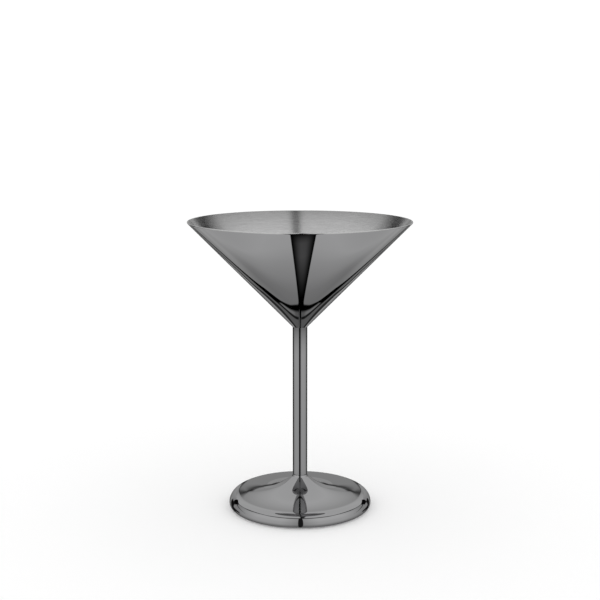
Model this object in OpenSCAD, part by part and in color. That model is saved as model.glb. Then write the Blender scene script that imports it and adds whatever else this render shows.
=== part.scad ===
// Martini glass of polished stainless sheet: a spun conical bowl, a tube stem and a pressed,
// hollow foot, joined by two small welds. Everything is turned about the Z axis.
// Millimetres. The origin is on the table, under the centre of the foot.

/* [Bowl] */
// Diameter across the rim
rim_d = 120; // [100:1:140]
// Height of the rim above the table
glass_h = 158; // [145:1:175]
// Angle between the bowl's wall and its axis
bowl_angle = 44.5; // [40:0.5:50]
// Sheet thickness of the bowl
bowl_t = 0.8; // [0.6:0.1:1.2]
// Radius inside the pointed bottom of the bowl
tip_r = 1.2; // [1:0.1:1.5]

/* [Stem] */
// Outside diameter of the stem tube
stem_d = 8; // [7.5:0.5:10]
// Wall thickness of the stem tube
stem_wall = 1; // [0.8:0.1:1.2]

/* [Foot] */
// Largest diameter of the foot
foot_d = 78.2; // [72:0.2:90]
// Height of the crest inside the foot's rounded edge
crest_h = 7.7; // [7:0.1:9]
// Radius that turns the edge under, which is also the height of the widest point
under_r = 2.4; // [2:0.1:3]
// Height at which the dome would reach the side of the stem
neck_h = 17.2; // [14:0.2:20]
// How fast the dome falls away from the stem, as the power of its curve
flare = 3.2; // [2.5:0.1:4]
// Sheet thickness of the foot
foot_t = 0.8; // [0.6:0.1:1]
// Width of the flat hem that the foot stands on
hem_w = 2.4; // [2:0.2:4]
// Clearance between the base plate's edge and the shell around it
plate_gap = 0.2; // [0.1:0.1:0.4]

/* [Welds] */
// Width of the weld around the neck of the foot
neck_bead = 0.5; // [0.3:0.1:0.8]

/* [Hidden] */
// Steps along the foot's dome and along each rounded stretch of sheet
dome_steps = 24;
arc_steps = 12;
$fn = 96;

rim_r = rim_d / 2;
stem_r = stem_d / 2;
bore_r = stem_r - stem_wall;
foot_r = foot_d / 2;
edge_r = crest_h - under_r;
crest_r = foot_r - edge_r;
hem_r = foot_r - under_r;

// The lip is the sheet's own edge, rounded to a full half circle.
lip_r = bowl_t / 2;
lip_c = [rim_r - lip_r, glass_h - lip_r];

// Unit vector up the bowl's wall, and the one that points out of its outer face.
up_wall = [sin(bowl_angle), cos(bowl_angle)];
off_wall = [cos(bowl_angle), -sin(bowl_angle)];

// Height of the bowl's outer face at radius r, and of its middle surface on the axis.
outer_end = lip_c + lip_r * off_wall;
function cone_z(r) = outer_end.y - (outer_end.x - r) / tan(bowl_angle);
tip_out_r = tip_r + bowl_t;
tip_c = [0, cone_z(0) + tip_out_r / sin(bowl_angle)];

// The tube's square end touches the cone at its bore, which leaves a groove for the weld.
stem_top = cone_z(bore_r);
plate_z = foot_t;
stem_foot = plate_z + foot_t;
plate_r = hem_r - plate_gap;

// Points of an arc about centre c, from angle a to angle b.
function arc(c, r, a, b, n = arc_steps) =
    [for (i = [0:n]) c + r * [cos(a + (b - a) * i / n), sin(a + (b - a) * i / n)]];

// The dome rises from the crest to the neck as a power of the distance inside the crest.
function dome_z(r) = crest_h + (neck_h - crest_h) * pow((crest_r - r) / (crest_r - stem_r), flare);
function dome_slope(r) = atan(flare * (neck_h - crest_h) / (crest_r - stem_r)
    * pow((crest_r - r) / (crest_r - stem_r), flare - 1));

// Radii along the dome, from the stem out to the crest. The second one is the weld's edge.
dome_radii = concat([stem_r],
    [for (i = [0:dome_steps - 1]) stem_r + neck_bead + (crest_r - stem_r - neck_bead) * i / dome_steps]);

// Points along the dome, set in from its outer face by depth.
function dome_line(depth) =
    [for (r = dome_radii) [r, dome_z(r)] - depth * [sin(dome_slope(r)), cos(dome_slope(r))]];

// The bowl is one cone of sheet, from a rounded lip down to a rounded tip.
module bowl() {
    wall = concat(
        arc(tip_c, tip_out_r, -90, -bowl_angle),
        arc(lip_c, lip_r, -bowl_angle, 180 - bowl_angle),
        arc(tip_c, tip_r, -bowl_angle, -90));
    color("dimgray")
        rotate_extrude()
            polygon(wall);
}

// Filler in the groove between the tube's end and the cone, ground flush with the tube.
module bowl_weld() {
    color("gray")
        rotate_extrude()
            polygon([[bore_r, stem_top], [stem_r, stem_top], [stem_r, cone_z(stem_r)]]);
}

// The stem runs through the dome's neck and stands on the base plate.
module stem_tube() {
    color("dimgray")
        translate([0, 0, stem_foot])
            difference() {
                cylinder(h = stem_top - stem_foot, r = stem_r);
                translate([0, 0, -1])
                    cylinder(h = stem_top - stem_foot + 2, r = bore_r);
            }
}

// Small fillet where the dome's neck is welded to the stem.
module neck_weld() {
    edge = stem_r + neck_bead;
    color("gray")
        rotate_extrude()
            polygon([[stem_r, dome_z(stem_r)], [edge, dome_z(edge)], [stem_r, dome_z(stem_r) + neck_bead]]);
}

// Pressed shell: a dome, a rounded edge turned under, and a flat hem.
module foot_shell() {
    edge_c = [crest_r, under_r];
    under_c = [hem_r, under_r];
    outer = concat(
        dome_line(0),
        arc(edge_c, edge_r, 90, 0),
        arc(under_c, under_r, 0, -90));
    inner = concat(
        arc(under_c, under_r - foot_t, -90, 0),
        arc(edge_c, edge_r - foot_t, 0, 90));
    hem = [[hem_r - hem_w, 0], [hem_r - hem_w, foot_t]];
    lining = [for (p = dome_line(foot_t)) if (p.x > stem_r) p];
    neck_inside = [stem_r, lining[0].y + (lining[0].x - stem_r) * tan(dome_slope(stem_r))];
    color("dimgray")
        rotate_extrude()
            polygon(concat(outer, hem, inner, [for (i = [len(lining) - 1:-1:0]) lining[i]], [neck_inside]));
}

// Flat disc that closes the foot from below. It lies on the hem, inside the turned edge.
module base_plate() {
    color("silver")
        translate([0, 0, plate_z])
            cylinder(h = foot_t, r = plate_r);
}

bowl();
bowl_weld();
stem_tube();
neck_weld();
foot_shell();
base_plate();
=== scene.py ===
"""Martini glass of polished, dark coated steel: a conical bowl, a tube stem and a pressed hollow foot.

Every piece is turned about the Z axis, so each one is a profile in radius and height that is carried
once round the axis. Metres, with the origin on the floor under the centre of the foot.
"""

import math

import bpy
import numpy as np
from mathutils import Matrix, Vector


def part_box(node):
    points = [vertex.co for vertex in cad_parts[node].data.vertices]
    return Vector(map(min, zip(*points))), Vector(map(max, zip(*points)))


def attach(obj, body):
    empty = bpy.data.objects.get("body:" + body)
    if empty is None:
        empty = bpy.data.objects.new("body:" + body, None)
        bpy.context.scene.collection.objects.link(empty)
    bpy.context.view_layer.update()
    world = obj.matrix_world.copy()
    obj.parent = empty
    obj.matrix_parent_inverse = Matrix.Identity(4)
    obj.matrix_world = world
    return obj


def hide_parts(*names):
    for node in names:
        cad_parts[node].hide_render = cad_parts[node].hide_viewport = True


bl_info = {
    "name": "Martini Glass",
    "version": (1, 0, 0),
    "blender": (4, 5, 0),
    "location": "3D View > Sidebar > Glass",
    "description": "Makes a steel martini glass and a plain studio around it",
    "category": "Add Mesh",
}

MM = 0.001
FULL_TURN = 2 * math.pi
DEGREES = 180 / math.pi

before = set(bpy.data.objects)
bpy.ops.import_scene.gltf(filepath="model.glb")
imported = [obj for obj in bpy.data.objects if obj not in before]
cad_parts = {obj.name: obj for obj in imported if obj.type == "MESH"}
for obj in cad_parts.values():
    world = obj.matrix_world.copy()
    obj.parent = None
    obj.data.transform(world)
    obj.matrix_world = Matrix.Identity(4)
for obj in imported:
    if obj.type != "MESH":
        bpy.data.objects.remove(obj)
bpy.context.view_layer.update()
BOWL_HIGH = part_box("bowl")[1]
STEM_LOW, STEM_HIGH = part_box("stem_tube")
FOOT_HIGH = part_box("foot_shell")[1]
PLATE_LOW, PLATE_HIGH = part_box("base_plate")
NECK_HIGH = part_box("neck_weld")[1]

# Steps round the axis, along each rounded stretch of a profile, along the dome, and along a flat one.
TURN_STEPS = 384
ARC_STEPS = 14
DOME_STEPS = 72
WALL_STEPS = 16
END_SHARE = 0.002
AXIS_RADIUS = 1e-9
SHARP_ANGLE = math.radians(35)
PLATE_CHAMFER = 0.1 * MM


# ---------------------------------------------------------------- properties


def length(name, description, default, soft_max):
    """A length property in metres."""
    return bpy.props.FloatProperty(
        name=name, description=description, default=default, min=0.0, soft_max=soft_max,
        precision=5, subtype="DISTANCE", unit="LENGTH")


def colour(name, description, default):
    """A colour property."""
    return bpy.props.FloatVectorProperty(
        name=name, description=description, default=default, size=3, min=0.0, max=1.0, subtype="COLOR")


def factor(name, description, default):
    """A property between none and all of something."""
    return bpy.props.FloatProperty(
        name=name, description=description, default=default, min=0.0, max=1.0, subtype="FACTOR")


def angle(name, description, degrees):
    """An angle property, whose default is given in degrees."""
    return bpy.props.FloatProperty(
        name=name, description=description, default=math.radians(degrees), subtype="ANGLE", unit="ROTATION")


class GlassSizes(bpy.types.PropertyGroup):
    """Sizes of the glass. The outside sizes come from the frame."""

    rim_radius: length("Rim radius", "Half the width across the rim", BOWL_HIGH.x, 0.08)
    height: length("Height", "Height of the rim above the floor", BOWL_HIGH.z, 0.2)
    wall_angle: angle("Wall angle", "Angle between the bowl's wall and the axis", 44.5)
    bowl_sheet: length("Bowl sheet", "Thickness of the bowl's sheet", 0.8 * MM, 0.002)
    tip_radius: length("Tip radius", "Radius inside the pointed bottom of the bowl", 1.2 * MM, 0.003)
    stem_radius: length("Stem radius", "Outside radius of the stem tube", STEM_HIGH.x, 0.01)
    stem_wall: length("Stem wall", "Wall thickness of the stem tube", 1.0 * MM, 0.002)
    stem_foot: length("Stem foot", "Height of the stem tube's lower end", STEM_LOW.z, 0.01)
    stem_top: length("Stem top", "Height of the stem tube's upper end", STEM_HIGH.z, 0.2)
    foot_radius: length("Foot radius", "Largest radius of the foot", FOOT_HIGH.x, 0.06)
    neck_height: length("Neck height", "Height of the dome at the side of the stem", FOOT_HIGH.z, 0.03)
    crest_height: length("Crest height", "Height of the crest inside the rounded edge", 7.7 * MM, 0.02)
    under_radius: length("Turn-under radius", "Radius that turns the edge under", 2.4 * MM, 0.01)
    flare: bpy.props.FloatProperty(
        name="Flare", description="Power of the curve that the dome falls away by",
        default=3.2, min=1.5, max=6.0)
    foot_sheet: length("Foot sheet", "Thickness of the foot's sheet", 0.8 * MM, 0.002)
    hem_width: length("Hem width", "Width of the flat hem that the foot stands on", 2.4 * MM, 0.01)
    plate_radius: length("Plate radius", "Radius of the base plate", PLATE_HIGH.x, 0.06)
    plate_bottom: length("Plate bottom", "Height of the base plate's lower face", PLATE_LOW.z, 0.01)
    plate_top: length("Plate top", "Height of the base plate's upper face", PLATE_HIGH.z, 0.01)
    neck_bead: length("Neck weld", "Width of the weld round the neck",
                      NECK_HIGH.x - STEM_HIGH.x, 0.002)


class GlassFinishes(bpy.types.PropertyGroup):
    """Colours and finishes of the metal."""

    gunmetal: colour("Gunmetal", "Colour of the dark coating where it is polished", (0.290, 0.290, 0.294))
    polish: factor("Polish", "Roughness of the polished metal", 0.018)
    lip: colour("Lip", "Colour of the lip, where the coating is thin", (0.48, 0.48, 0.48))
    brushed: colour("Brushed gunmetal", "Colour of the coating inside the bowl", (0.44, 0.44, 0.44))
    brushed_roughness: factor("Brushed roughness", "Roughness inside the bowl", 0.24)
    steel: colour("Bare steel", "Colour of the bare steel under the foot", (0.45, 0.45, 0.46))
    steel_roughness: factor("Steel roughness", "Roughness of the bare steel", 0.34)


class StudioSettings(bpy.types.PropertyGroup):
    """Floor, light and camera."""

    floor_colour: colour("Floor", "Colour of the floor", (0.90, 0.90, 0.90))
    daylight: bpy.props.FloatProperty(
        name="Daylight", description="Strength of the even light that falls on the floor",
        default=1.03, min=0.0, soft_max=4.0)
    backdrop: bpy.props.FloatProperty(
        name="Backdrop", description="Brightness of the empty background",
        default=1.1, min=0.0, soft_max=2.0)
    fill: bpy.props.FloatProperty(
        name="Fill", description="Light in the floor itself, which keeps the shadows on it soft",
        default=0.10, min=0.0, soft_max=1.0)
    camera_distance: length("Camera distance", "From the axis to the camera", 0.6052, 2.0)
    camera_height: length("Camera height", "Height of the camera above the floor", 0.21898, 1.0)
    camera_tilt: angle("Camera tilt", "How far the camera looks down", 9.74)
    lens: bpy.props.FloatProperty(
        name="Lens", description="Focal length of the camera", default=68.37, min=10.0,
        subtype="DISTANCE_CAMERA")


# ------------------------------------------------------------------- shapes


def arc(centre, radius, start, end, steps=ARC_STEPS):
    """Points of a circular arc: the centre plus the radius turned from one angle to the other, in degrees."""
    t = np.radians(np.linspace(start, end, steps + 1))
    return np.stack([centre[0] + radius * np.cos(t), centre[1] + radius * np.sin(t)], axis=1)


def line(a, b, steps):
    """Evenly spaced points from a to b, without the two ends.

    A point close to each end keeps the smooth shading of the corner there out of the flat stretch.
    """
    t = np.linspace(0, 1, steps + 1)
    t[0], t[-1] = END_SHARE, 1 - END_SHARE
    t = t[:, None]
    return (1 - t) * np.array(a, float) + t * np.array(b, float)


def turned(name, profile, materials, parts=None):
    """A closed outline of radius and height, carried once round the Z axis.

    A point at radius r and height z becomes (r cos a, r sin a, z) for every angle a. The outline runs
    with the metal on its left. Points on the axis are one vertex each, fanned with triangles. parts
    holds, for each stretch of the outline, the number of its material in the list.
    """
    profile = np.asarray(profile, float)
    count = len(profile)
    a = np.linspace(0, FULL_TURN, TURN_STEPS, endpoint=False)
    radius, height = profile[:, :1], profile[:, 1:]
    grid = np.stack([radius * np.cos(a), radius * np.sin(a), np.repeat(height, TURN_STEPS, axis=1)], axis=2)

    # Each row of the grid is one ring, and a ring on the axis is the same vertex all the way round.
    on_axis = profile[:, 0] < AXIS_RADIUS
    ring = np.arange(count * TURN_STEPS).reshape(count, TURN_STEPS)
    ring[on_axis] = ring[on_axis, :1]
    after = np.roll(ring, -1, axis=1)
    here, there = np.arange(count), np.roll(np.arange(count), -1)
    open_rows = ~(on_axis[here] & on_axis[there])
    here, there = here[open_rows], there[open_rows]
    quads = np.stack([ring[here], after[here], after[there], ring[there]], axis=2).reshape(-1, 4)
    finish = np.zeros(count, int) if parts is None else parts

    # A face that touches the axis has one corner twice, and drops it.
    kept = np.ones(quads.shape, bool)
    kept[quads[:, 0] == quads[:, 1], 0] = False
    kept[quads[:, 2] == quads[:, 3], 3] = False
    corners_each = kept.sum(axis=1)
    used, corners = np.unique(quads[kept], return_inverse=True)

    mesh = bpy.data.meshes.new(name)
    mesh.vertices.add(len(used))
    mesh.vertices.foreach_set("co", grid.reshape(-1, 3)[used].ravel())
    mesh.loops.add(len(corners))
    mesh.loops.foreach_set("vertex_index", corners.ravel())
    mesh.polygons.add(len(quads))
    mesh.polygons.foreach_set("loop_start", np.cumsum(corners_each) - corners_each)
    for material in materials:
        mesh.materials.append(material)
    mesh.polygons.foreach_set("material_index", np.repeat(finish[here], TURN_STEPS))
    mesh.update(calc_edges=True)
    mesh.validate()
    mesh.shade_smooth()
    mesh.set_sharp_from_angle(angle=SHARP_ANGLE)
    return link(bpy.data.objects.new(name, mesh))


def link(piece):
    """Puts a new object into the scene."""
    bpy.context.scene.collection.objects.link(piece)
    return piece


def place(piece, node):
    """Hands a finished piece to the frame: it rides with the glass and stands for a CAD node."""
    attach(piece, "root")
    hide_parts(node)
    return piece


class Outline:
    """Heights and centres that several pieces share, worked out from the sizes."""

    def __init__(self, sizes):
        self.sizes = sizes
        a = sizes.wall_angle
        self.lip_radius = sizes.bowl_sheet / 2
        self.lip_centre = (sizes.rim_radius - self.lip_radius, sizes.height - self.lip_radius)
        self.outer_end = (self.lip_centre[0] + self.lip_radius * math.cos(a),
                          self.lip_centre[1] - self.lip_radius * math.sin(a))
        self.tip_out = sizes.tip_radius + sizes.bowl_sheet
        self.tip_centre = (0.0, self.cone_z(0.0) + self.tip_out / math.sin(a))
        self.edge_radius = sizes.crest_height - sizes.under_radius
        self.crest_radius = sizes.foot_radius - self.edge_radius
        self.hem_radius = sizes.foot_radius - sizes.under_radius

    def cone_z(self, r):
        """Height of the bowl's outer face at radius r: a straight line down from the lip."""
        return self.outer_end[1] - (self.outer_end[0] - r) / math.tan(self.sizes.wall_angle)

    def dome_z(self, r):
        """Height of the dome: it climbs as a power of the distance inside the crest."""
        rise = self.sizes.neck_height - self.sizes.crest_height
        share = (self.crest_radius - r) / (self.crest_radius - self.sizes.stem_radius)
        return self.sizes.crest_height + rise * share ** self.sizes.flare

    def dome_line(self, depth):
        """Points of the dome from the stem out to the crest, set in from its face by depth."""
        rise = self.sizes.neck_height - self.sizes.crest_height
        width = self.crest_radius - self.sizes.stem_radius
        share = np.linspace(1, 0, DOME_STEPS + 1)
        r = self.crest_radius - share * width
        slope = np.arctan(self.sizes.flare * rise / width * share ** (self.sizes.flare - 1))
        return np.stack([r - depth * np.sin(slope), self.dome_z(r) - depth * np.cos(slope)], axis=1)


def make_bowl(sizes, finishes):
    """One cone of sheet: round tip, straight wall, half-round lip and the same again inside."""
    o = Outline(sizes)
    degrees = math.degrees(sizes.wall_angle)
    outer_tip = arc(o.tip_centre, o.tip_out, -90, -degrees)
    lip = arc(o.lip_centre, o.lip_radius, -degrees, 180 - degrees)
    inner_tip = arc(o.tip_centre, sizes.tip_radius, -degrees, -90)
    outer_wall = line(outer_tip[-1], lip[0], WALL_STEPS)
    inner_wall = line(lip[-1], inner_tip[0], WALL_STEPS)
    outer_tip[0, 0] = 0.0
    inner_tip[-1, 0] = 0.0
    profile = np.concatenate([outer_tip, outer_wall, lip, inner_wall, inner_tip])
    parts = np.repeat([0, 2, 1], [len(outer_tip) + len(outer_wall), len(lip) - 1,
                                  1 + len(inner_wall) + len(inner_tip)])
    finish = [polished_gunmetal(finishes), brushed_gunmetal(finishes), polished_lip(finishes)]
    piece = turned("bowl_sheet", profile, finish, parts)
    return place(piece, "bowl")


def make_stem(sizes, finishes):
    """The tube: a ring of its wall's width from the base plate to the cone."""
    outer = sizes.stem_radius
    bore = outer - sizes.stem_wall
    low, high = sizes.stem_foot, sizes.stem_top
    profile = np.concatenate([
        [(outer, low)], line((outer, low), (outer, high), WALL_STEPS), [(outer, high)],
        [(bore, high)], line((bore, high), (bore, low), WALL_STEPS), [(bore, low)],
    ])
    return place(turned("stem", profile, [shaded_polished_stem(finishes)]), "stem_tube")


def make_foot(sizes, finishes):
    """Pressed shell: dome, rounded edge, turn-under and hem, then the same line back inside."""
    o = Outline(sizes)
    edge_centre = (o.crest_radius, sizes.under_radius)
    under_centre = (o.hem_radius, sizes.under_radius)
    sheet = sizes.foot_sheet
    dome = o.dome_line(0.0)
    edge = arc(edge_centre, o.edge_radius, 90, 0, 2 * ARC_STEPS)
    under = arc(under_centre, sizes.under_radius, 0, -90)
    hem = np.array([(o.hem_radius - sizes.hem_width, 0.0), (o.hem_radius - sizes.hem_width, sheet)])
    under_in = arc(under_centre, sizes.under_radius - sheet, -90, 0)
    edge_in = arc(edge_centre, o.edge_radius - sheet, 0, 90, 2 * ARC_STEPS)
    lining = o.dome_line(sheet)
    lining = lining[lining[:, 0] > sizes.stem_radius]
    fall = (lining[1] - lining[0]) / (lining[1, 0] - lining[0, 0])
    neck = lining[0] + (sizes.stem_radius - lining[0, 0]) * fall
    profile = np.concatenate([
        dome[:-1], edge[:-1], under, hem, under_in, edge_in[1:-1], lining[::-1], [neck]])[::-1]
    return place(turned("foot", profile, [polished_gunmetal(finishes)]), "foot_shell")


def make_plate(sizes, finishes):
    """Flat disc with a slightly broken edge: straight out, up the edge and straight back."""
    r, low, high = sizes.plate_radius, sizes.plate_bottom, sizes.plate_top
    flat = r - PLATE_CHAMFER
    rings = line((0.0, low), (flat, low), WALL_STEPS)
    edge = [(flat, low), (r, low + PLATE_CHAMFER), (r, high - PLATE_CHAMFER), (flat, high)]
    profile = np.concatenate([[(0.0, low)], rings, edge, rings[::-1] + [0.0, high - low], [(0.0, high)]])
    return place(turned("base_disc", profile, [bare_steel(finishes)]), "base_plate")


def make_bowl_weld(sizes, finishes):
    """Filler between the tube's end and the cone, ground flush with the tube."""
    o = Outline(sizes)
    outer = sizes.stem_radius
    bore = outer - sizes.stem_wall
    profile = [(bore, sizes.stem_top), (outer, sizes.stem_top), (outer, o.cone_z(outer))]
    # The weld takes the stem's painted shade, darkest next to the bowl.
    return place(turned("bowl_weld_bead", profile, [shaded_polished_stem(finishes)]), "bowl_weld")


def make_neck_weld(sizes, finishes):
    """Small hollow fillet between the dome's neck and the stem.

    Its face is a quadratic curve from the dome up to the stem, drawn in towards a corner between them.
    """
    o = Outline(sizes)
    r, w = sizes.stem_radius, sizes.neck_bead
    neck = o.dome_z(r)
    start, corner, end = np.array([(r + w, o.dome_z(r + w)), (r + 0.3 * w, neck + 0.2 * w), (r, neck + w)])
    t = np.linspace(0, 1, ARC_STEPS + 1)[:, None]
    curve = (1 - t) ** 2 * start + 2 * t * (1 - t) * corner + t ** 2 * end
    profile = np.concatenate([[(r, neck)], curve])
    return place(turned("neck_weld_bead", profile, [polished_gunmetal(finishes)]), "neck_weld")


# ----------------------------------------------------------------- shading


class Value:
    """A number worked out by shader nodes. Arithmetic on it adds Math nodes to its tree."""

    def __init__(self, nodes, socket):
        self.nodes = nodes
        self.socket = socket

    def math(self, operation, *others):
        """The operation with this value on the left."""
        node = self.nodes.add("ShaderNodeMath", {"operation": operation}, dict(enumerate([self, *others])))
        return Value(self.nodes, node.outputs[0])

    def of(self, operation, other):
        """The operation with this value on the right."""
        node = self.nodes.add("ShaderNodeMath", {"operation": operation}, {0: other, 1: self})
        return Value(self.nodes, node.outputs[0])

    def __add__(self, other):
        return self.math("ADD", other)

    def __radd__(self, other):
        return self.math("ADD", other)

    def __sub__(self, other):
        return self.math("SUBTRACT", other)

    def __rsub__(self, other):
        return self.of("SUBTRACT", other)

    def __mul__(self, other):
        return self.math("MULTIPLY", other)

    def __rmul__(self, other):
        return self.math("MULTIPLY", other)

    def __truediv__(self, other):
        return self.math("DIVIDE", other)

    def __rtruediv__(self, other):
        return self.of("DIVIDE", other)

    def __pow__(self, other):
        return self.math("POWER", other)

    def __abs__(self):
        return self.math("ABSOLUTE")

    def least(self, other):
        return self.math("MINIMUM", other)

    def most(self, other):
        return self.math("MAXIMUM", other)

    def fade(self, low, high, to_low=0.0, to_high=1.0):
        """Smooth step: to_low below low, to_high above high."""
        node = self.nodes.add("ShaderNodeMapRange", {"interpolation_type": "SMOOTHSTEP"}, {
            "Value": self, "From Min": low, "From Max": high, "To Min": to_low, "To Max": to_high})
        return Value(self.nodes, node.outputs["Result"])

    def steps(self, stops):
        """Straight lines through the (position, value) stops, and level beyond the ends.

        A ramp holds nothing below 0, so the lowest value is taken off the stops and added back after it.
        """
        low, high = stops[0][0], stops[-1][0]
        base = min(value for _, value in stops)
        share = (self - low) / (high - low)
        ramp = self.nodes.add("ShaderNodeValToRGB", {
            "stops": [((p - low) / (high - low), (v - base, v - base, v - base, 1)) for p, v in stops]},
            {"Fac": share})
        return Value(self.nodes, ramp.outputs["Color"]) + base


class Nodes:
    """Adds nodes to one tree: settings first, then the values or links of the sockets."""

    def __init__(self, tree):
        self.tree = tree
        tree.nodes.clear()

    def add(self, kind, settings=None, inputs=None):
        node = self.tree.nodes.new(kind)
        for key, value in (settings or {}).items():
            if key == "stops":
                ramp = node.color_ramp
                while len(ramp.elements) < len(value):
                    ramp.elements.new(0.5)
                for element, (position, colour_value) in zip(ramp.elements, value):
                    element.position = position
                    element.color = colour_value
            else:
                setattr(node, key, value)
        for key, value in (inputs or {}).items():
            socket = node.inputs[key]
            if isinstance(value, Value):
                self.tree.links.new(value.socket, socket)
            elif isinstance(value, bpy.types.NodeSocket):
                self.tree.links.new(value, socket)
            else:
                socket.default_value = value
        return node

    def value(self, kind, output, settings=None, inputs=None):
        return Value(self, self.add(kind, settings, inputs).outputs[output])

    def axes(self, vector):
        """The three parts of a vector as values."""
        split = self.add("ShaderNodeSeparateXYZ", {}, {0: vector})
        return [Value(self, s) for s in split.outputs]

    def vector(self, x, y, z):
        return self.add("ShaderNodeCombineXYZ", {}, {0: x, 1: y, 2: z}).outputs[0]

    def tint(self, base, amount):
        """A colour made lighter or darker by a value."""
        grey = self.add("ShaderNodeCombineColor", {}, {0: amount, 1: amount, 2: amount}).outputs[0]
        mixed = self.add("ShaderNodeMix", {"data_type": "RGBA", "blend_type": "MULTIPLY"},
                         {"Factor": 1.0, 6: (*base, 1.0), 7: grey})
        return mixed.outputs[2]


def new_material(name):
    """An empty material and its node adder, with object coordinates split into axes."""
    material = bpy.data.materials.new(name)
    material.use_nodes = True
    nodes = Nodes(material.node_tree)
    coords = nodes.add("ShaderNodeTexCoord").outputs["Object"]
    x, y, z = nodes.axes(coords)
    return material, nodes, x, y, z


def round_noise(nodes, x, y, along, count, fineness, detail=2.0):
    """Noise drawn out round the axis: count patches round a turn, fineness patches per metre along."""
    radius = (x * x + y * y) ** 0.5 + 1e-6
    where = nodes.vector(x / radius * count, y / radius * count, along * fineness)
    return nodes.value("ShaderNodeTexNoise", 0, {"noise_dimensions": "3D"},
                       {"Vector": where, "Scale": 1.0, "Detail": detail, "Roughness": 0.6})


def close_metal(material, nodes, base, rough, bump, strength, distance, anisotropic=0.0):
    """Principled metal from its colour, roughness and fine relief."""
    relief = nodes.add("ShaderNodeBump", {}, {"Strength": strength, "Distance": distance, "Height": bump})
    shader = nodes.add("ShaderNodeBsdfPrincipled", {}, {
        "Base Color": base, "Metallic": 1.0, "Roughness": rough, "Anisotropic": anisotropic,
        "Anisotropic Rotation": 0.25, "Normal": relief.outputs[0]})
    nodes.add("ShaderNodeOutputMaterial", {}, {"Surface": shader.outputs[0]})
    return material


def once(builder):
    """Each finish is built once, and later pieces get the same material."""
    made = {}

    def get(finishes):
        if builder not in made:
            made[builder] = builder(finishes)
        return made[builder]

    return get


def polished(name, finishes, painted_shade=None):
    """Dark mirror: faint clouds in the coating and hair-fine lines left by the polishing wheel, and painted
    shade by height where a shade curve is given.
    """
    material, nodes, x, y, z = new_material(name)
    clouds = round_noise(nodes, x, y, z, 1.5, 60.0)
    lines = round_noise(nodes, x, y, z, 3.0, 2500.0, 3.0)
    depth = 0.97 + clouds * 0.06
    # Painted shade: the colour is darkened by height where a shade curve is given.
    if painted_shade is not None:
        depth = depth * painted_shade(z)
    base = nodes.tint(finishes.gunmetal, depth)
    rough = finishes.polish * (0.7 + clouds * 0.4 + lines * 0.2)
    return close_metal(material, nodes, base, rough, lines, 0.02, 0.02 * MM)


@once
def polished_gunmetal(finishes):
    """The finish of the bowl's outside, the foot and the neck weld."""
    return polished("polished_gunmetal", finishes)


@once
def shaded_polished_stem(finishes):
    """The same finish for the stem and the bowl's weld, with painted shade: darker towards the top of the
    stem and on the weld, under the bowl.
    """
    # Painted shade: how dark the stem is, by distance down from its top.
    tint = [(0.0, 0.52), (0.001, 0.60), (0.005, 0.78), (0.0095, 0.92), (0.014, 1.0)]
    return polished("shaded_polished_stem", finishes, lambda z: (STEM_HIGH.z - z).steps(tint))


@once
def polished_lip(finishes):
    """The lip, where the coating is thin over the ground edge of the sheet and the steel shows through."""
    material, nodes, x, y, z = new_material("polished_lip")
    worn = round_noise(nodes, x, y, z, 9.0, 800.0)
    base = nodes.tint(finishes.lip, 0.88 + worn * 0.24)
    rough = 0.10 + worn * 0.06
    return close_metal(material, nodes, base, rough, worn, 0.05, 0.02 * MM)


@once
def brushed_gunmetal(finishes):
    """Satin inside: brushed round the axis, so that the streaks run round and vary in depth, with painted
    shade that darkens it towards the rim.
    """
    material, nodes, x, y, z = new_material("brushed_gunmetal")
    fine = round_noise(nodes, x, y, z, 16.0, 3600.0, 3.0)
    coarse = round_noise(nodes, x, y, z, 5.0, 900.0)
    # Painted shade and light: darker towards the rim and paler deeper in the bowl.
    rim = (BOWL_HIGH.z - z).steps([(0.0, 0.66), (0.003, 0.80), (0.007, 0.93), (0.013, 1.06), (0.03, 1.12)])
    base = nodes.tint(finishes.brushed, rim * (0.68 + fine * 0.40 + coarse * 0.24))
    rough = finishes.brushed_roughness * (0.8 + fine * 0.25 + coarse * 0.15)
    return close_metal(material, nodes, base, rough, fine * 0.7 + coarse * 0.3, 0.12, 0.04 * MM, 0.9)


@once
def bare_steel(finishes):
    """Spun satin steel: rings about the centre."""
    material, nodes, x, y, z = new_material("bare_steel")
    radius = (x * x + y * y) ** 0.5
    rings = round_noise(nodes, x, y, radius, 2.5, 3000.0, 3.0)
    wide = round_noise(nodes, x, y, radius, 1.2, 400.0)
    base = nodes.tint(finishes.steel, 0.86 + rings * 0.16 + wide * 0.12)
    rough = finishes.steel_roughness * (0.8 + rings * 0.3 + wide * 0.1)
    return close_metal(material, nodes, base, rough, rings, 0.3, 0.04 * MM, 0.5)


# ------------------------------------------------------------------- studio

FLOOR_HALF = 4.0
FLOOR_HEIGHT = -0.02 * MM
TABLE_CARD_HALF = 0.6
TABLE_CARD_HEIGHT = 18 * MM
FOOT_FLAG_HEIGHT = 22 * MM
GAP_LIGHT = 0.012
SLIT_LIGHT = 0.03
FLAG_LIGHT = 0.006


def mix(a, b, share):
    """a where share is 0 and b where it is 1."""
    return share * (b - a) + a


def inside(value, low, high, soft):
    """1 between low and high, with edges soft wide."""
    return value.fade(low - soft, low + soft) * value.fade(high - soft, high + soft, 1.0, 0.0)


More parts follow.
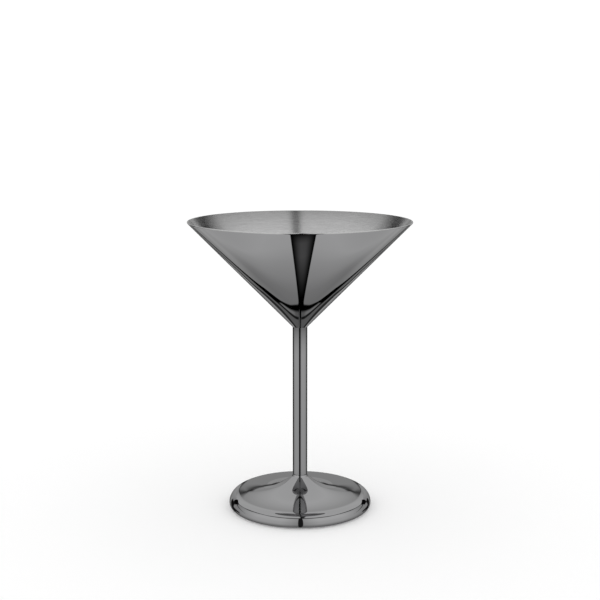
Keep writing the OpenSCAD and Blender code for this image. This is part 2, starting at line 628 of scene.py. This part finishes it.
def wall_light(side, elevation):
    """Brightness of the walls: soft light that fades towards the floor and the sides, and a darker back."""
    height = elevation.steps([(-60, 0.45), (-50, 0.48), (-40, 0.58), (-30, 0.70), (-20, 0.85),
                              (-10, 0.98), (5, 1.02), (15, 1.08), (25, 1.15), (90, 1.15)])
    turn = side.steps([(4, 0.70), (15, 0.85), (30, 1.0), (75, 1.0), (97, 0.83), (120, 0.58), (150, 0.52)])
    back = elevation.steps([(-60, 0.9), (-40, 0.85), (-22, 0.18), (-12, 0.16), (-6, 0.32), (0, 0.42),
                            (6, 0.50), (12, 0.58), (19, 0.66)])
    return mix(height * turn, back, side.fade(148, 157))


def ceiling_light(across, ahead, elevation, walls):
    """The walls, and over them a flat panel of light with a dark seam along its front and back edges.

    across and ahead are places on a level plane one unit up. Each edge is a line of ahead by across.
    """
    front_edge = abs(across).steps([(0, -0.62), (0.34, -0.56), (0.65, -0.40), (0.80, -0.30), (1.0, 0.05),
                                    (1.2, 0.38), (1.4, 0.68), (1.5, 1.10), (1.6, 1.5), (1.9, 2.2)])
    back_edge = abs(across).steps([(0, 2.845), (0.165, 2.845), (0.24, 2.98), (0.5, 4.0), (0.8, 3.1),
                                   (1.0, 2.35), (1.3, 2.15), (1.6, 1.95)])
    panel = ahead.steps([(-0.6, 1.0), (-0.2, 1.08), (1.4, 1.0), (2.0, 0.86), (2.5, 0.74), (2.72, 0.66),
                         (2.85, 0.56)])
    near, far = ahead - front_edge, back_edge - ahead
    breadth = abs(across).steps([(0.8, 1.0), (1.5, 2.5)])
    seam = inside(near, -0.15 * breadth, 0.06 * breadth, 0.05).most(inside(far, -0.025, 0.02, 0.025))
    above = mix(walls, 0.35, elevation.fade(52, 62))
    return mix(above, panel, near.fade(-0.05, 0.03) * far.fade(-0.02, 0.0)) * (1.0 - seam * 0.88)


def with_opening(light, side, elevation):
    """Adds a tall opening with a dark frame at the back, given as its half width by elevation."""
    opening = elevation.steps([(-20, 6.0), (-8, 6.5), (0, 7.8), (4, 8.4), (13.7, 6.3), (18.7, 4.0)])
    outwards = 180.0 - side - opening
    light = mix(light, light * 0.78, outwards.fade(-0.5, 0.0, 1.0, 0.0) * inside(elevation, 9.0, 19.4, 0.2))
    thickness = elevation.steps([(2, 1.7), (10, 0.9), (19, 0.6)])
    frame_line = inside(outwards, -1.0 * thickness, thickness, 0.7) * inside(elevation, -14.0, 19.2, 0.3)
    return light * (1.0 - frame_line * 0.85)


def with_gaps(light, azimuth, elevation):
    """Adds a dark gap between each side wall and the back, wider just below the horizon."""
    low = inside(elevation, -19.0, -9.0, 1.5) * 19.0
    gap_right = inside(azimuth, 137.0 - low, 149.0, 1.5)
    gap_left = inside(azimuth, -147.0, -131.0 + low, 1.5)
    return mix(light, GAP_LIGHT, gap_right.most(gap_left) * elevation.fade(7, 11, 1.0, 0.0))


def with_slit(light, azimuth, elevation, across, ahead):
    """Adds a dark slit that climbs the front wall and runs back along the ceiling."""
    upright_part = inside(azimuth, -3.0, 5.0, 0.6)
    overhead = inside(across, 0.002, 0.096, 0.018) * ahead.fade(0.0, 0.1, 1.0, 0.0)
    return mix(light, SLIT_LIGHT, mix(upright_part, overhead, elevation.fade(58, 66)))


def studio_light(nodes, direction):
    """Brightness of the studio in each direction.

    Azimuth is 0 towards the camera's side and grows to the right. It and elevation are in degrees.
    """
    x, y, z = nodes.axes(direction)
    azimuth = x.math("ARCTAN2", -1.0 * y) * DEGREES
    elevation = z.math("ARCSINE") * DEGREES
    side = abs(azimuth)
    up = z.most(0.02)
    across, ahead = x / up, y / up
    walls = wall_light(side, elevation)
    light = mix(walls, ceiling_light(across, ahead, elevation, walls), z.fade(0.02, 0.06))
    light = with_opening(light, side, elevation)
    light = with_gaps(light, azimuth, elevation)
    return with_slit(light, azimuth, elevation, across, ahead)


def make_world(studio):
    """Plain white to the camera, even light for the floor, and the studio in reflections."""
    world = bpy.data.worlds.new("studio")
    world.use_nodes = True
    world.cycles.sampling_method = "NONE"
    bpy.context.scene.world = world
    nodes = Nodes(world.node_tree)
    direction = nodes.add("ShaderNodeTexCoord").outputs["Generated"]
    ray = nodes.add("ShaderNodeLightPath")
    glossy = Value(nodes, ray.outputs["Is Glossy Ray"])
    camera = Value(nodes, ray.outputs["Is Camera Ray"])
    even = mix(studio.daylight, studio.backdrop, camera)
    strength = mix(even, studio_light(nodes, direction), glossy)
    shader = nodes.add("ShaderNodeBackground", {}, {"Color": (1, 1, 1, 1), "Strength": strength})
    nodes.add("ShaderNodeOutputWorld", {}, {"Surface": shader.outputs[0]})


def stage_face(name, corners, material):
    """A four-sided face of the stage."""
    mesh = bpy.data.meshes.new(name)
    mesh.from_pydata(corners, [], [(0, 1, 2, 3)])
    mesh.materials.append(material)
    face = link(bpy.data.objects.new(name, mesh))
    return face


def card(name, corners, material):
    """A face of the stage that only reflections show."""
    face = stage_face(name, corners, material)
    for ray in ("camera", "diffuse", "transmission", "volume_scatter", "shadow"):
        setattr(face, "visible_" + ray, False)


def level_square(half, height):
    """Corners of a square that looks up."""
    return [(-half, -half, height), (half, -half, height), (half, half, height), (-half, half, height)]


def upright(start, end, away, low, high):
    """Corners of an upright oblong, given in millimetres. It looks to the front if start is left of end."""
    corners = [(start, away, low), (end, away, low), (end, away, high), (start, away, high)]
    return [(MM * across, MM * back, MM * up) for across, back, up in corners]


def stage_surface(material, nodes, shader):
    """Ends a stage material. Its own light is too weak to be worth aiming rays at."""
    nodes.add("ShaderNodeOutputMaterial", {}, {"Surface": shader.outputs[0]})
    material.cycles.emission_sampling = "NONE"


def seen_where(material, nodes, seen, strength):
    """Light of the given strength where seen is 1, and clear where it is 0."""
    light = nodes.add("ShaderNodeEmission", {}, {"Strength": strength})
    clear = nodes.add("ShaderNodeBsdfTransparent")
    shader = nodes.add("ShaderNodeMixShader", {}, {0: seen, 1: clear.outputs[0], 2: light.outputs[0]})
    stage_surface(material, nodes, shader)


def facing(nodes):
    """0 for a ray that meets the face squarely, and 1 for one that grazes it."""
    return nodes.value("ShaderNodeLayerWeight", "Facing", {}, {"Blend": 0.5})


def beneath(nodes):
    """1 for a ray that meets the face from behind."""
    return nodes.value("ShaderNodeNewGeometry", "Backfacing")


def make_floor(studio):
    """Matt pale floor. Polished metal sees the studio in its place."""
    material, nodes, *_ = new_material("floor")
    matt = nodes.add("ShaderNodeBsdfDiffuse", {}, {"Color": (*studio.floor_colour, 1.0)})
    fill = nodes.add("ShaderNodeEmission", {}, {"Strength": studio.fill})
    shader = nodes.add("ShaderNodeAddShader", {}, {0: matt.outputs[0], 1: fill.outputs[0]})
    stage_surface(material, nodes, shader)
    floor = stage_face("floor", level_square(FLOOR_HALF, FLOOR_HEIGHT), material)
    floor.visible_glossy = False


def table_light(x, y):
    """Brightness of the table card, for places in millimetres.

    Two pale boards meet in a dark joint. Behind them come a thin sliver of light, a dark line, a plain
    field, a wider dark line, and a field that darkens to the back. All of their edges are parabolas
    with offsets that change with the distance from the middle.
    """
    square, wide = x * x, abs(x)
    near_edge = y - square / 88.0 + wide.steps([(28, 4.0), (53, 6.1), (79, 11.0), (100, 8.5)])
    far_edge = y - square / 93.9 + wide.steps([(32, -0.4), (52, 0.5), (80, -15.9), (100, -36.9)])
    line_two = y - square / 85.8 + wide.steps([(20, -4.8), (37, -4.0), (57, -1.8)])
    line_three = y - square / 68.8 + wide.steps([(40, -20.0), (64, -12.6), (83, -10.6), (100, -30.6)])

    # The boards darken towards the back, and are a little paler far out at the sides.
    slope = y - square / 150.0
    boards = slope.steps([(-50, 1.0), (-40, 0.96), (-35, 0.89), (-30, 0.80), (-20, 0.67), (-15, 0.58),
                          (-10, 0.50), (0, 0.43), (10, 0.46), (30, 0.48), (70, 0.43)])
    boards = boards + wide.fade(85, 138) * slope.fade(-35, -5) * slope.fade(5, 75, 0.2, 0.0)
    boards = boards.least(1.16 - wide * 0.0027)

    # The joint is a wedge that widens to the front, with a faint glimmer in it.
    left, right = x - (y * 0.296 - 2.6), (8.33 - y * 0.421) - x
    joint = left.least(right)
    joint_share = joint / ((left + right) * 0.5)
    glimmer = y.steps([(-47, 0.0), (-44, 0.09), (-41, 0.16), (-33, 0.17), (-22, 0.08), (-15, 0.03),
                       (-8, 0.0)])
    black = joint.math("SMOOTH_MAX", near_edge, 5.0)
    light = mix(boards, glimmer * joint_share.fade(0.0, 0.9), black.fade(-0.5, 0.7))

    # What lies behind the boards, from the nearest to the farthest.
    sliver = mix(0.27, 0.46, wide.fade(12, 26) * wide.fade(44, 58, 1.0, 0.0))
    light = mix(light, sliver, far_edge.fade(-0.8, 1.4))
    light = mix(light, 0.27, line_two.fade(0.5, 2.0))
    half_two = wide * 0.03 + 0.6
    light = light * (abs(line_two) - half_two).fade(-0.6, 0.6, 0.06, 1.0)
    distant = line_three.steps([(15, 0.75), (38, 0.48), (70, 0.30), (150, 0.18)])
    light = mix(light, distant, line_three.fade(0.0, 6.0))
    half_three = wide * 0.17 + 1.5
    return light * (abs(line_three) - half_three).fade(-2.0, 2.0, 0.15, 1.0)


def make_table_card():
    """The table as the underside of the bowl sees it.

    It is seen only in reflections that come down on it steeply, and from above.
    """
    material, nodes, x, y, _ = new_material("table_card")
    steep = facing(nodes).fade(0.66, 0.69, 1.0, 0.0)
    seen_where(material, nodes, steep * (1.0 - beneath(nodes)), table_light(x / MM, y / MM))
    card("table_card", level_square(TABLE_CARD_HALF, TABLE_CARD_HEIGHT), material)


def make_flag():
    """A narrow black strip that hangs in front of the stem, which gives it a dark line down the middle.

    It is seen only in reflections, and only from the side of the stem.
    """
    material, nodes, *_ = new_material("flag")
    seen_where(material, nodes, 1.0 - beneath(nodes), FLAG_LIGHT)
    card("flag", upright(3.1, -5.0, -20.0, 8.0, 101.0), material)


def make_rim_flags():
    """Two black cards behind the rim, which leave a dark patch at each side of the bowl's inside.

    They are seen only in reflections that meet them nearly square, so the foot doesn't show them.
    """
    material, nodes, x, *_ = new_material("rim_flag")
    square = facing(nodes).fade(0.42, 0.52, 1.0, 0.0)
    seen_where(material, nodes, square * abs(x / MM).fade(1.0, 15.0), FLAG_LIGHT)
    for side in (-1, 1):
        card("rim_flag", upright(side * 1.0, side * 32.0, 80.0, 168.0, 208.0), material)


def make_foot_flags():
    """Two black cards low behind the foot, which leave a dark patch at each end of its rounded edge.

    They are seen only in reflections, and only from below, so neither the stem nor the cone shows them.
    """
    material, nodes, *_ = new_material("foot_flag")
    seen_where(material, nodes, beneath(nodes), FLAG_LIGHT)
    outline = [(47.0, 14.0), (58.5, 3.0), (122.0, 56.0), (110.0, 73.0)]
    for side in (-1, 1):
        corners = [(side * across * MM, away * MM, FOOT_FLAG_HEIGHT) for across, away in outline]
        card("foot_flag", corners[::side], material)


def make_camera(studio):
    """Camera in front of the glass, a little above its rim, looking slightly down."""
    data = bpy.data.cameras.new("camera")
    camera = link(bpy.data.objects.new("camera", data))
    camera.location = (0.0, -studio.camera_distance, studio.camera_height)
    camera.rotation_euler = (math.pi / 2 - studio.camera_tilt, 0.0, 0.0)
    data.lens = studio.lens
    data.sensor_width = 36.0
    data.clip_start = 0.01
    bpy.context.scene.camera = camera


# ---------------------------------------------------------------- operators


class GLASS_OT_bowl(bpy.types.Operator):
    """Make the bowl of the glass."""

    bl_idname = "glass.bowl"
    bl_label = "Bowl"

    def execute(self, context):
        make_bowl(context.scene.glass_sizes, context.scene.glass_finishes)
        return {"FINISHED"}


class GLASS_OT_stem(bpy.types.Operator):
    """Make the stem tube."""

    bl_idname = "glass.stem"
    bl_label = "Stem"

    def execute(self, context):
        make_stem(context.scene.glass_sizes, context.scene.glass_finishes)
        return {"FINISHED"}


class GLASS_OT_foot(bpy.types.Operator):
    """Make the foot shell and the plate that closes it."""

    bl_idname = "glass.foot"
    bl_label = "Foot"

    def execute(self, context):
        make_foot(context.scene.glass_sizes, context.scene.glass_finishes)
        make_plate(context.scene.glass_sizes, context.scene.glass_finishes)
        return {"FINISHED"}


class GLASS_OT_welds(bpy.types.Operator):
    """Make the two welds."""

    bl_idname = "glass.welds"
    bl_label = "Welds"

    def execute(self, context):
        make_bowl_weld(context.scene.glass_sizes, context.scene.glass_finishes)
        make_neck_weld(context.scene.glass_sizes, context.scene.glass_finishes)
        return {"FINISHED"}


class GLASS_OT_studio(bpy.types.Operator):
    """Make the floor, the light, the cards and the camera."""

    bl_idname = "glass.studio"
    bl_label = "Studio"

    def execute(self, context):
        studio = context.scene.glass_studio
        context.scene.view_settings.view_transform = "Standard"
        make_world(studio)
        make_floor(studio)
        make_table_card()
        make_flag()
        make_rim_flags()
        make_foot_flags()
        make_camera(studio)
        return {"FINISHED"}


STEPS = ("bowl", "stem", "foot", "welds", "studio")


class GLASS_PT_panel(bpy.types.Panel):
    """Lists the sizes, the finishes and the steps that make the glass."""

    bl_idname = "GLASS_PT_panel"
    bl_label = "Martini Glass"
    bl_space_type = "VIEW_3D"
    bl_region_type = "UI"
    bl_category = "Glass"

    def draw(self, context):
        for group in (context.scene.glass_sizes, context.scene.glass_finishes, context.scene.glass_studio):
            column = self.layout.column()
            for key in group.__annotations__:
                column.prop(group, key)
        for step in STEPS:
            self.layout.operator("glass." + step)


CLASSES = (GlassSizes, GlassFinishes, StudioSettings, GLASS_OT_bowl, GLASS_OT_stem, GLASS_OT_foot,
           GLASS_OT_welds, GLASS_OT_studio, GLASS_PT_panel)


def register():
    for cls in CLASSES:
        bpy.utils.register_class(cls)
    bpy.types.Scene.glass_sizes = bpy.props.PointerProperty(type=GlassSizes)
    bpy.types.Scene.glass_finishes = bpy.props.PointerProperty(type=GlassFinishes)
    bpy.types.Scene.glass_studio = bpy.props.PointerProperty(type=StudioSettings)


def unregister():
    del bpy.types.Scene.glass_studio
    del bpy.types.Scene.glass_finishes
    del bpy.types.Scene.glass_sizes
    for cls in reversed(CLASSES):
        bpy.utils.unregister_class(cls)


def main():
    """Makes every piece and the studio."""
    register()
    for step in STEPS:
        getattr(bpy.ops.glass, step)()
    bpy.context.view_layer.update()


if __name__ == "__main__":
    main()
